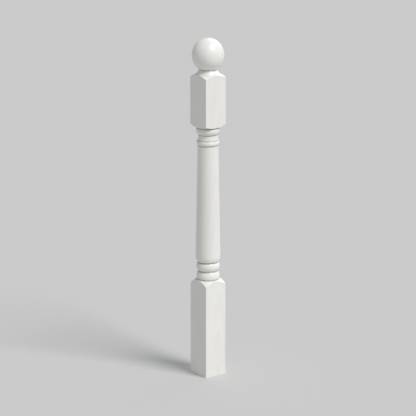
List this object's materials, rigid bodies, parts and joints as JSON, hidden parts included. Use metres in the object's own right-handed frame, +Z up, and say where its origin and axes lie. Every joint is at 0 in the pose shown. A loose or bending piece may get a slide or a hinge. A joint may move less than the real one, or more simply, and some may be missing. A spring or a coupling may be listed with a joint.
{
  "type": "newel post",
  "caption": "Square newel post in white-painted timber, turned with beads and a tapered shaft between its base block and rail block, under a ball top.",
  "frame": {"origin": "centre of the post's flat underside, on the floor", "axes": "+Z up along the turning axis; X and Y square to the flats of the two blocks; in the drawing the wide face looks to -Y and the narrow one to -X"},
  "size_m": [0.1132, 0.1132, 1.2192],
  "materials": {
    "post_paint": "white satin enamel brushed over turned timber",
    "ball_paint": "white satin enamel brushed over turned timber"
  },
  "bodies": {
    "root": {"turned_post": "post_paint", "ball_top": "ball_paint"}
  },
  "joints": []
}
